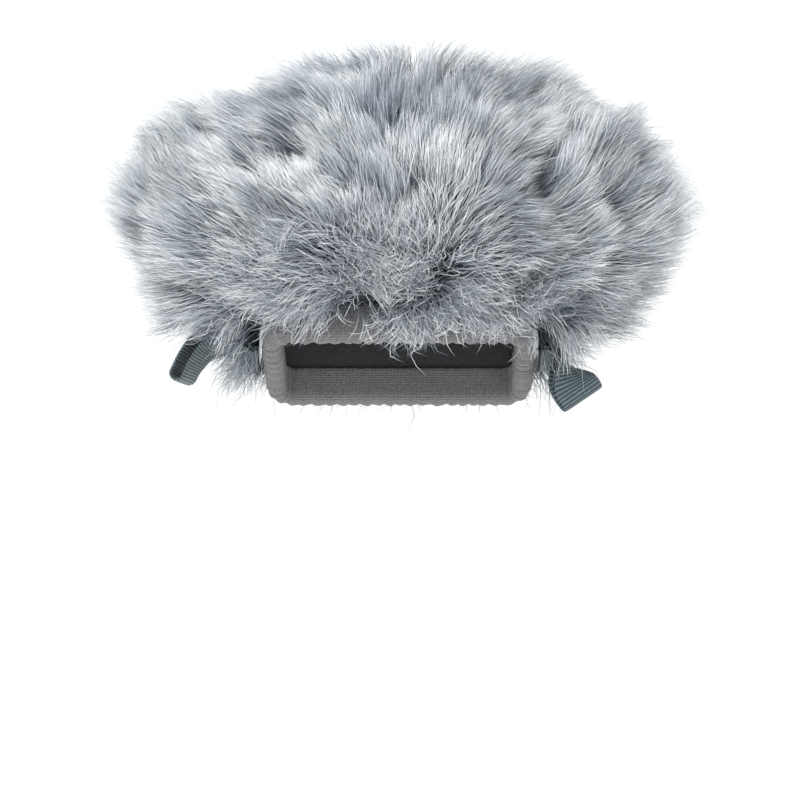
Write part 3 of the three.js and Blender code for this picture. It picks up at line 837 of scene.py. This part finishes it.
# depths in mm under the backing's outer face, at the neck and over the body
backingSkin = {
    "outer": (0.0, 0.0), "inner": (0.8, 1.1), "seamGap": 1.0 * mm, "grid": (120, 36), "crownSeam": True,
    "nodes": {"front": "fur_front_panel", "back": "fur_back_panel",
              "gusset_left": "fur_gusset_left", "gusset_right": "fur_gusset_right"},
}
foamSkin = {
    "outer": (1.1, 1.5), "inner": (2.2, 5.3), "seamGap": 0.6 * mm, "grid": (80, 24), "crownSeam": False,
    "nodes": {},
}
liningSkin = {
    "outer": (2.5, 5.6), "inner": (3.2, 6.4), "seamGap": 0.9 * mm, "grid": (160, 48), "crownSeam": False,
    "nodes": {},
}
layerPanels("backing", backingSkin, backingMaterial)
layerPanels("foam", foamSkin, foamMaterial)
layerPanels("lining", liningSkin, liningMaterial)


# mouth: gathered casing, stitches and bartacks

def ringPoint(along, offset, height):
    # along runs once round the mouth at an even pace, offset reaches out from the grip
    # and height is above the rim
    cornerX, cornerY, radius = gripX - hem["corner"], gripY - hem["corner"], hem["corner"] + offset
    paced = 2.5 * mm       # the pace is even this far out from the grip
    fine = np.linspace(0, 2 * np.pi, 4001)
    x, y = mouthOutline(fine, paced)
    travelled = np.concatenate([[0], np.cumsum(np.hypot(np.diff(x), np.diff(y)))])
    angle = np.interp(np.mod(along, 1.0) * travelled[-1], travelled, fine)
    px, py = mouthOutline(angle, paced)
    cx, cy = np.clip(px, -cornerX, cornerX), np.clip(py, -cornerY, cornerY)
    out = unit(np.stack([px - cx, py - cy], -1))
    x, y = cx + out[..., 0] * radius, cy + out[..., 1] * radius
    return np.stack([x, y, height - hem["slope"] * y], -1)


casing = {
    "columns": 620, "rows": 22,
    "cloth": 0.7 * mm,
    "foldRadius": 1.9 * mm,
    "gathers": 58,
    "gatherDepth": 0.5 * mm,
}


def buildCasing():
    # one strip of cloth folded round the elastic: down the inside, under the rim and up the outside
    bpy.ops.mesh.primitive_grid_add(x_subdivisions=casing["columns"], y_subdivisions=casing["rows"], size=2)
    made = bpy.context.object
    made.name = made.data.name = "hem_casing_gathered"
    flat = np.array([v.co for v in made.data.vertices])
    along, across = (flat[:, 0] + 1) / 2, (flat[:, 1] + 1) / 2
    half, radius, wall = casing["cloth"] / 2 + 0.05 * mm, casing["foldRadius"], hem["wall"]
    straight, arc = hem["height"] - radius - half, radius * math.pi / 2
    floorWidth = wall - 2 * half - 2 * radius
    stops = np.cumsum([0, straight, arc, floorWidth, arc, straight])
    s = across * stops[-1]
    turn1 = np.clip((s - stops[1]) / arc, 0, 1) * math.pi / 2
    turn2 = np.clip((s - stops[3]) / arc, 0, 1) * math.pi / 2
    offset = (half + radius * (1 - np.cos(turn1)) + np.clip(s - stops[2], 0, floorWidth)
              + radius * np.sin(turn2))
    height = (hem["height"] - np.clip(s, 0, straight) - radius * np.sin(turn1)
              + radius * (1 - np.cos(turn2)) + np.clip(s - stops[4], 0, straight))
    tilt = turn1 + turn2                      # 0 on the inner wall, a half turn on the outer
    wander = 0.5 * np.sin(2 * np.pi * 7 * along + 0.6) + 0.35 * np.sin(2 * np.pi * 11 * along + 2.1)
    wave = 2 * np.pi * casing["gathers"] * along + 2.2 * wander + 0.5 * np.sin(3 * across + 9 * along)
    pleat = 0.62 * np.sin(wave) + 0.25 * np.sin(0.53 * wave + 1.3) + 0.13 * np.sin(2.1 * wave + 4 * across)
    strength = casing["gatherDepth"] * (0.55 + 0.45 * np.sin(tilt)) * (0.8 + 0.2 * wander)
    push = strength * np.where(tilt < 0.2, (pleat - 1) * 0.6, pleat)
    offset = offset - np.cos(tilt) * push
    height = height - np.sin(tilt) * push * 0.8
    placed = ringPoint(along, offset, height)
    made.data.vertices.foreach_set("co", placed.astype(np.float32).ravel())
    weave = made.data.uv_layers.new(name=casingUv)
    made.data.uv_layers.active = weave
    corner = np.empty(len(made.data.loops), np.int32)
    made.data.loops.foreach_get("vertex_index", corner)
    girth = 4 * (gripX + gripY)
    weave.data.foreach_set("uv", np.stack([along * girth, s], 1)[corner].astype(np.float32).ravel())
    bpy.ops.object.mode_set(mode="EDIT")
    bpy.ops.mesh.select_all(action="SELECT")
    bpy.ops.mesh.remove_doubles(threshold=0.00001)
    bpy.ops.mesh.normals_make_consistent(inside=False)
    bpy.ops.object.mode_set(mode="OBJECT")
    thick = made.modifiers.new("clothThickness", "SOLIDIFY")
    thick.thickness, thick.offset = casing["cloth"], 0
    bpy.ops.object.modifier_apply(modifier="clothThickness")
    bpy.ops.object.shade_smooth()
    finishPiece(made, casingMaterial, "hood", "casing", "hem_casing")
    print("gathered casing", len(made.data.polygons))


def finishPiece(made, material, body, slot, *nodes):
    made.data.materials.clear()
    made.data.materials.append(material)
    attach(made, body)
    for node in nodes:
        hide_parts(node)
    bpy.ops.object.select_all(action="DESELECT")


def stitchShape():
    # one stitch of thread: a short rod with rounded, sunken ends, 1 long and 1 thick
    bpy.ops.mesh.primitive_uv_sphere_add(segments=6, ring_count=6, radius=0.5)
    shape = bpy.context.object
    points = np.array([v.co for v in shape.data.vertices])
    points = points[:, [2, 0, 1]]
    faces = [tuple(p.vertices) for p in shape.data.polygons]
    bpy.data.objects.remove(shape)
    ends = np.sign(points[:, 0]) * np.abs(2 * points[:, 0]) ** 0.7 / 2
    return np.stack([ends, points[:, 1], points[:, 2]], 1), faces


stitch, stitchFaces = stitchShape()


def stitchRow(name, places, alongs, ups, length, radius, material, body, slot, *nodes):
    # copies of the stitch, each laid at its place along its own direction and bowed up over the cloth
    count = len(places)
    alongs = unit(alongs)
    ups = unit(ups - alongs * np.sum(ups * alongs, 1, keepdims=True))
    sides = np.cross(ups, alongs)
    bow = (1 - (2 * stitch[:, 0]) ** 2) * radius * 0.7
    points = (places[:, None] + alongs[:, None] * (stitch[:, 0] * length)[None, :, None]
              + sides[:, None] * (stitch[:, 1] * 2 * radius)[None, :, None]
              + ups[:, None] * (stitch[:, 2] * 2 * radius + bow)[None, :, None])
    mesh = bpy.data.meshes.new(name)
    size = len(stitch)
    faces = [tuple(v + k * size for v in face) for k in range(count) for face in stitchFaces]
    mesh.from_pydata(points.reshape(-1, 3).tolist(), [], faces)
    mesh.polygons.foreach_set("use_smooth", np.ones(len(mesh.polygons), bool))
    made = bpy.data.objects.new(name, mesh)
    scene.collection.objects.link(made)
    bpy.context.view_layer.objects.active = made
    made.select_set(True)
    bpy.ops.object.mode_set(mode="EDIT")
    bpy.ops.mesh.select_all(action="SELECT")
    bpy.ops.mesh.normals_make_consistent(inside=False)
    bpy.ops.object.mode_set(mode="OBJECT")
    finishPiece(made, material, body, slot, *nodes)
    print(name, "stitches", count)


def threadMaterial(name, color):
    # two plies twisted round each other, drawn as slanting bands of painted light and painted shade in the
    # grooves between them
    material, shader = newMaterial(name, 0.55, 0.3, 0.4, 0.35)
    tree = material.node_tree
    place = tree.nodes.new("ShaderNodeTexCoord")
    wave = tree.nodes.new("ShaderNodeTexWave")
    wave.bands_direction = "DIAGONAL"
    wave.inputs["Scale"].default_value = 900
    wave.inputs["Distortion"].default_value = 2.0
    ramp = tree.nodes.new("ShaderNodeValToRGB")
    ramp.color_ramp.elements[0].color = (*[c * 0.6 for c in color], 1)
    ramp.color_ramp.elements[1].color = (*color, 1)
    tree.links.new(place.outputs["Object"], wave.inputs["Vector"])
    tree.links.new(wave.outputs["Fac"], ramp.inputs["Fac"])
    tree.links.new(ramp.outputs["Color"], shader.inputs["Base Color"])
    addBump(material, shader, wave.outputs["Fac"], 0.0001)
    return material


darkThread = threadMaterial("seamThread", (0.11, 0.12, 0.13))
tapeThread = threadMaterial("tabThread", (0.16, 0.2, 0.21))


hemStitches = {"count": 74, "height": 7.7 * mm, "out": 0.35 * mm, "length": 2.1 * mm, "radius": 0.26 * mm}


def buildHemStitches():
    # a row of lockstitches that holds the fur to the casing, all round the mouth
    count, height = hemStitches["count"], hemStitches["height"]
    out = hem["wall"] + hemStitches["out"]
    along = (np.arange(count) + 0.5) / count
    places = ringPoint(along, out, height)
    ahead = ringPoint(along + 0.002, out, height) - places
    ups = ringPoint(along, hem["wall"] + 2 * mm, height) - places
    stitchRow("hem_stitch_row", places, ahead, ups, hemStitches["length"], hemStitches["radius"],
              darkThread, "hood", "thread", "hem_stitching")


furSeam = {"depth": (0, 0), "spacing": 2.2 * mm, "length": 2.6 * mm, "radius": 0.22 * mm, "inward": False}
liningSeam = {"depth": (3.2 * mm, 6.4 * mm), "spacing": 2.4 * mm, "length": 2.2 * mm, "radius": 0.18 * mm,
              "inward": True}
crownSeam = {"count": 11, "halfRun": 11.5, "length": 2.6 * mm, "radius": 0.22 * mm}      # half run in mm


def seamLine(y, depth):
    # places in the layer where it meets the seam's plane,
    # from one side of the mouth over the crown to the other
    line = []
    for side in (1, -1):
        around = np.linspace(0, np.pi, 181) * (side if y > 0 else -side)
        around = around[np.cos(around) * side >= 0]
        points = []
        for up in np.linspace(0.12, 1, 700):
            p = layerPoint(around, np.full(len(around), up), depth[0], depth[1])
            i = int(np.argmin(np.abs(p[:, 1] - y)))
            if abs(p[i, 1] - y) < 0.8 * mm:
                points.append((around[i], up))
        line += points if side == 1 else points[::-1]
    return np.array(line).T


def seamStitches(name, y, settings, node):
    # overcast stitches across the joint of two panels
    angle, up = seamLine(y, settings["depth"])
    points = layerPoint(angle, up, settings["depth"][0], settings["depth"][1])
    points[:, 1] = y
    travelled = np.concatenate([[0], np.cumsum(np.linalg.norm(np.diff(points, axis=0), axis=1))])
    at = np.arange(settings["spacing"], travelled[-1] - settings["spacing"], settings["spacing"])
    places = np.stack([np.interp(at, travelled, points[:, k]) for k in range(3)], 1)
    normals = hoodNormal(angle, up) * (-1 if settings["inward"] else 1)
    normals = np.stack([np.interp(at, travelled, normals[:, k]) for k in range(3)], 1)
    ahead = unit(np.gradient(places, axis=0))
    slant = np.where(np.arange(len(at)) % 2 == 0, 1, -1)[:, None] * ahead * 0.5 + np.array([0, 1.0, 0])
    stitchRow(name, places + unit(normals) * 0.1 * mm, slant, normals, settings["length"],
              settings["radius"], darkThread, "hood", "thread", node)


def buildCrownSeam():
    # the short seam that closes the two gussets over the crown
    count, halfRun = crownSeam["count"], crownSeam["halfRun"]
    y = np.linspace(-halfRun, halfRun, count) * mm
    up = np.linspace(0.9, 1, 200)
    above = [max((hoodPoint(np.array([np.sign(v) * np.pi / 2]), np.array([u]))[0] for u in up),
                 key=lambda p: -abs(p[1] - v)) for v in y]
    places = np.array(above)
    places[:, 0] = 0
    acrossSeam = np.array([[1.0, 0.5 * (-1) ** k, 0] for k in range(count)])
    ups = np.tile([0.0, 0.0, 1.0], (count, 1))
    stitchRow("crown_seam_stitches", places, acrossSeam, ups, crownSeam["length"], crownSeam["radius"],
              darkThread, "hood", "thread", "crown_seam_thread")


def buildSeams():
    for side, y in (("front", -seamY), ("back", seamY)):
        seamStitches(f"fur_seam_stitches_{side}", y, furSeam, f"seam_thread_{side}")
        seamStitches(f"lining_seam_stitches_{side}", y, liningSeam, f"lining_seam_thread_{side}")
    buildCrownSeam()


# pull tabs

tabs = {
    "left": {
        "route": [(-38.3, 0, 4), (-40, 0, 4.2), (-43.2, 0, 7), (-47.8, 0, 9.4), (-52.6, 0, 8),
                  (-56.4, 0, 3.8), (-59.8, 0, -2.4)],
        "twist": 0,
    },
    "right": {
        "route": [(38.3, 0, 4), (40.4, 0.1, 4.2), (43.2, -0.4, 3.2), (45.2, -1.85, 0.3), (47.4, -3.75, -3.5),
                  (50, -5.45, -6.9)],
        "twist": 95,
    },
}
tape = {
    "width": 12.7 * mm, "thickness": 1.0 * mm, "openHalf": 2.35 * mm,
    "openFrom": 3 * mm, "openFull": 9 * mm,
    "rib": 0.86 * mm, "ribHeight": 0.2 * mm, "scallop": 0.16 * mm, "stepsPerRib": 6,
}


def smoothRoute(points):
    # a centripetal curve through the route's points, as evenly spaced places along its length
    p = np.array(points, float) * mm
    p = np.concatenate([[2 * p[0] - p[1]], p, [2 * p[-1] - p[-2]]])
    out = []
    for i in range(1, len(p) - 2):
        a, b, c, d = p[i - 1], p[i], p[i + 1], p[i + 2]
        d0, d1, d2 = (np.linalg.norm(v) ** 0.5 for v in (b - a, c - b, d - c))
        t1 = ((b - a) / d0 - (c - a) / (d0 + d1) + (c - b) / d1) * d1
        t2 = ((c - b) / d1 - (d - b) / (d1 + d2) + (d - c) / d2) * d1
        t = np.linspace(0, 1, 120, endpoint=False)[:, None]
        out.append(b + t1 * t + (-3 * b + 3 * c - 2 * t1 - t2) * t ** 2 + (2 * b - 2 * c + t1 + t2) * t ** 3)
    out = np.concatenate([*out, p[-2:-1]])
    travelled = np.concatenate([[0], np.cumsum(np.linalg.norm(np.diff(out, axis=0), axis=1))])
    even = np.linspace(0, travelled[-1], 800)
    return np.stack([np.interp(even, travelled, out[:, k]) for k in range(3)], 1), travelled[-1]


def routeFrame(route, length, along, twist):
    # place, direction, width direction and through direction of the tape at these lengths
    even = np.linspace(0, length, len(route))
    at = np.clip(along, 0, length)
    tangents = unit(np.gradient(route, axis=0))
    place = np.stack([np.interp(at, even, route[:, k]) for k in range(3)], 1)
    tangent = unit(np.stack([np.interp(at, even, tangents[:, k]) for k in range(3)], 1))
    hemLie = np.array([0, 1, -hem["slope"]]) / math.hypot(1, hem["slope"])
    width = unit(hemLie - tangent * (tangent @ hemLie)[:, None])
    angle = np.radians(twist * smoothStep(at / length, 0.15, 0.9))[:, None]
    width = width * np.cos(angle) + np.cross(tangent, width) * np.sin(angle)
    return place, tangent, width, np.cross(width, tangent)


def buildTab(side):
    route, length = smoothRoute(tabs[side]["route"])
    straight = length - tape["openHalf"]
    half = tape["thickness"] / 2
    # the tape's middle line seen from its edge: out along one layer, round the fold and back along the other
    out = np.linspace(0, straight, 400)
    opening = smoothStep(out, tape["openFrom"], tape["openFull"])
    apart = 2 * half + (tape["openHalf"] - 2 * half) * opening - half
    turn = np.linspace(np.pi / 2, -np.pi / 2, 80)[1:-1]
    fold = tape["openHalf"] - half
    x = np.concatenate([out, straight + fold * np.cos(turn), out[::-1]])
    y = np.concatenate([apart, fold * np.sin(turn), -apart[::-1]])
    travelled = np.concatenate([[0], np.cumsum(np.hypot(np.diff(x), np.diff(y)))])
    ribs = round(travelled[-1] / tape["rib"])
    rows, columns = ribs * tape["stepsPerRib"], 16
    # the tape's own outline across its width: two flat faces with full rounded edges
    bpy.ops.mesh.primitive_grid_add(x_subdivisions=columns, y_subdivisions=rows, size=2)
    made = bpy.context.object
    made.name = made.data.name = f"pull_tab_{side}_grosgrain"
    flat = np.array([v.co for v in made.data.vertices])
    around, s = (flat[:, 0] + 1) / 2, (flat[:, 1] + 1) / 2 * travelled[-1]
    px, py = np.interp(s, travelled, x), np.interp(s, travelled, y)
    step = 0.02 * mm
    dx = np.interp(s + step, travelled, x) - np.interp(s - step, travelled, x)
    dy = np.interp(s + step, travelled, y) - np.interp(s - step, travelled, y)
    size = np.hypot(dx, dy)
    nx, ny = -dy / size, dx / size
    rib = np.abs(np.sin(np.pi * s / travelled[-1] * ribs))
    angle = 2 * np.pi * around
    across = np.sign(np.cos(angle)) * np.abs(np.cos(angle)) ** 0.35
    deep = np.sign(np.sin(angle)) * np.abs(np.sin(angle)) ** 0.5
    across = across * (tape["width"] / 2 - tape["scallop"] * (1 - rib))
    deep = deep * (half - tape["ribHeight"] * (1 - rib))
    place, tangent, width, through = routeFrame(route, length, px + nx * deep, tabs[side]["twist"])
    beyond = (px + nx * deep) - np.clip(px + nx * deep, 0, length)
    placed = place + tangent * beyond[:, None] + through * (py + ny * deep)[:, None] + width * across[:, None]
    made.data.vertices.foreach_set("co", placed.astype(np.float32).ravel())
    # the weave's own map: up is 0 in a groove and 1 on top of a rib, across is how far along the tape
    weave = made.data.uv_layers.new(name=weaveUv)
    made.data.uv_layers.active = weave
    corner = np.empty(len(made.data.loops), np.int32)
    made.data.loops.foreach_get("vertex_index", corner)
    weave.data.foreach_set("uv", np.stack([s / travelled[-1], rib], 1)[corner].astype(np.float32).ravel())
    bpy.ops.object.mode_set(mode="EDIT")
    bpy.ops.mesh.select_all(action="SELECT")
    bpy.ops.mesh.remove_doubles(threshold=0.000005)
    bpy.ops.mesh.select_mode(type="EDGE")
    bpy.ops.mesh.select_all(action="DESELECT")
    bpy.ops.mesh.select_non_manifold(extend=False)
    bpy.ops.mesh.edge_face_add()
    bpy.ops.mesh.select_all(action="SELECT")
    bpy.ops.mesh.normals_make_consistent(inside=False)
    bpy.ops.object.mode_set(mode="OBJECT")
    bpy.ops.object.shade_smooth_by_angle(angle=math.radians(70))
    finishPiece(made, tapeMaterial, f"tab_{side}", "tape", f"pull_tab_{side}")
    print(made.name, "faces", len(made.data.polygons), "length", round(length / mm, 1))


# half the row's run is in mm
bartack = {"count": 24, "halfRun": 4.4, "out": 6.35 * mm, "height": 4 * mm,
           "length": 1.5 * mm, "radius": 0.24 * mm}


def buildBartack(side):
    # close zigzag stitches that tack the folded tape's ends to the casing
    sign = -1 if side == "left" else 1
    count = bartack["count"]
    t = np.linspace(-bartack["halfRun"], bartack["halfRun"], count)[:, None] * mm
    hemLie = np.array([0, 1, -hem["slope"]]) / math.hypot(1, hem["slope"])
    places = np.array([sign * (gripX + bartack["out"]), 0, bartack["height"]]) + hemLie * t
    zig = np.where(np.arange(count) % 2 == 0, 1.0, -1.0)[:, None] * hemLie * 0.25
    alongs = np.array([sign * 0.95, 0, 0.3]) + zig
    ups = np.tile(np.cross(hemLie, [sign, 0, 0]) * -sign, (count, 1))
    stitchRow(f"tab_bartack_{side}_stitches", places, alongs, ups, bartack["length"], bartack["radius"],
              tapeThread, "hood", "thread", f"tab_bartack_{side}")


def grosgrainMaterial():
    # ribs across the tape, with painted light on the top of each rib and painted shade in the grooves,
    # with fine warp threads that are lighter where their bump is high and darker where it is low
    material, shader = newMaterial("grosgrainTape", 0.62, 0.15, 0.4, 0.3)
    tree = material.node_tree
    weave = tree.nodes.new("ShaderNodeUVMap")
    weave.uv_map = weaveUv
    split = tree.nodes.new("ShaderNodeSeparateXYZ")
    ribs = tree.nodes.new("ShaderNodeValToRGB")
    place = tree.nodes.new("ShaderNodeTexCoord")
    warp = tree.nodes.new("ShaderNodeTexNoise")
    warp.inputs["Scale"].default_value = 1500
    warp.inputs["Detail"].default_value = 3
    dye = tree.nodes.new("ShaderNodeValToRGB")
    mix = tree.nodes.new("ShaderNodeMix")
    mix.data_type, mix.blend_type = "RGBA", "MULTIPLY"
    mix.inputs["Factor"].default_value = 1.0
    # painted shade and light: dark in the grooves, pale on the rib tops
    ribs.color_ramp.elements[0].color = (0.012, 0.019, 0.024, 1)
    ribs.color_ramp.elements[0].position = 0.1
    ribs.color_ramp.elements[1].color = (0.105, 0.143, 0.157, 1)
    ribs.color_ramp.elements[1].position = 0.95
    middle = ribs.color_ramp.elements.new(0.6)
    middle.color = (0.058, 0.083, 0.093, 1)
    dye.color_ramp.elements[0].color = (0.62, 0.62, 0.63, 1)
    dye.color_ramp.elements[0].position = 0.3
    dye.color_ramp.elements[1].color = (1.1, 1.1, 1.08, 1)
    dye.color_ramp.elements[1].position = 0.7
    tree.links.new(weave.outputs["UV"], split.inputs[0])
    tree.links.new(split.outputs["Y"], ribs.inputs["Fac"])
    tree.links.new(place.outputs["Object"], warp.inputs["Vector"])
    tree.links.new(warp.outputs["Fac"], dye.inputs["Fac"])
    tree.links.new(ribs.outputs["Color"], mix.inputs["A"])
    tree.links.new(dye.outputs["Color"], mix.inputs["B"])
    tree.links.new(mix.outputs["Result"], shader.inputs["Base Color"])
    addBump(material, shader, warp.outputs["Fac"], 0.0001, 0.5)
    return material


tapeMaterial = grosgrainMaterial()
buildCasing()
buildHemStitches()
buildSeams()
for side in ("left", "right"):
    buildTab(side)
    buildBartack(side)
for node, material in (("elastic_band", elasticMaterial), ("elastic_join_bartack", darkThread)):
    carried = bpy.data.objects.get(node)
    carried.data.materials.clear()
    carried.data.materials.append(material)


# floor, lights and camera

def softLight(name, place, target, size, power):
    bpy.ops.object.light_add(type="AREA", location=place)
    light = bpy.context.object
    light.name = name
    light.data.size = size
    light.data.energy = power
    light.rotation_euler = (Vector(target) - Vector(place)).to_track_quat("-Z", "Y").to_euler()


def buildStage():
    # a pale round floor well below the hood, where the foot of its recorder would be
    bpy.ops.mesh.primitive_circle_add(vertices=96, radius=60, fill_type="NGON", location=(0, 0, -0.101))
    floor = bpy.context.object
    floor.name = "floor"
    pale, shader = newMaterial("paleFloor", 0.9)
    shader.inputs["Base Color"].default_value = (0.92, 0.92, 0.92, 1)
    floor.data.materials.append(pale)


def buildLights():
    middle = (0, 0, 0.04)
    softLight("keyLight", (-0.4, -1.0, 0.7), middle, 0.6, 12)
    softLight("topLight", (0.1, 0.05, 1.1), middle, 0.8, 5.5)
    world = bpy.data.worlds.new("studio")
    world.use_nodes = True
    world.node_tree.nodes["Background"].inputs["Color"].default_value = (1, 1, 1, 1)
    world.node_tree.nodes["Background"].inputs["Strength"].default_value = 1.1
    scene.world = world


def buildCamera():
    frameWidth = 217.8 * mm
    lens = 100.0
    bpy.ops.object.camera_add(rotation=(math.pi / 2, 0, 0))
    camera = bpy.context.object
    camera.name = "camera"
    camera.data.lens = lens
    camera.data.sensor_width = 36
    camera.data.clip_start = 0.01
    camera.location = (0.3 * mm, -lens * frameWidth / 36, -7.1 * mm)
    scene.camera = camera


buildStage()
buildLights()
buildCamera()
scene.view_settings.view_transform = "Standard"
print("stage, lights and camera ready")
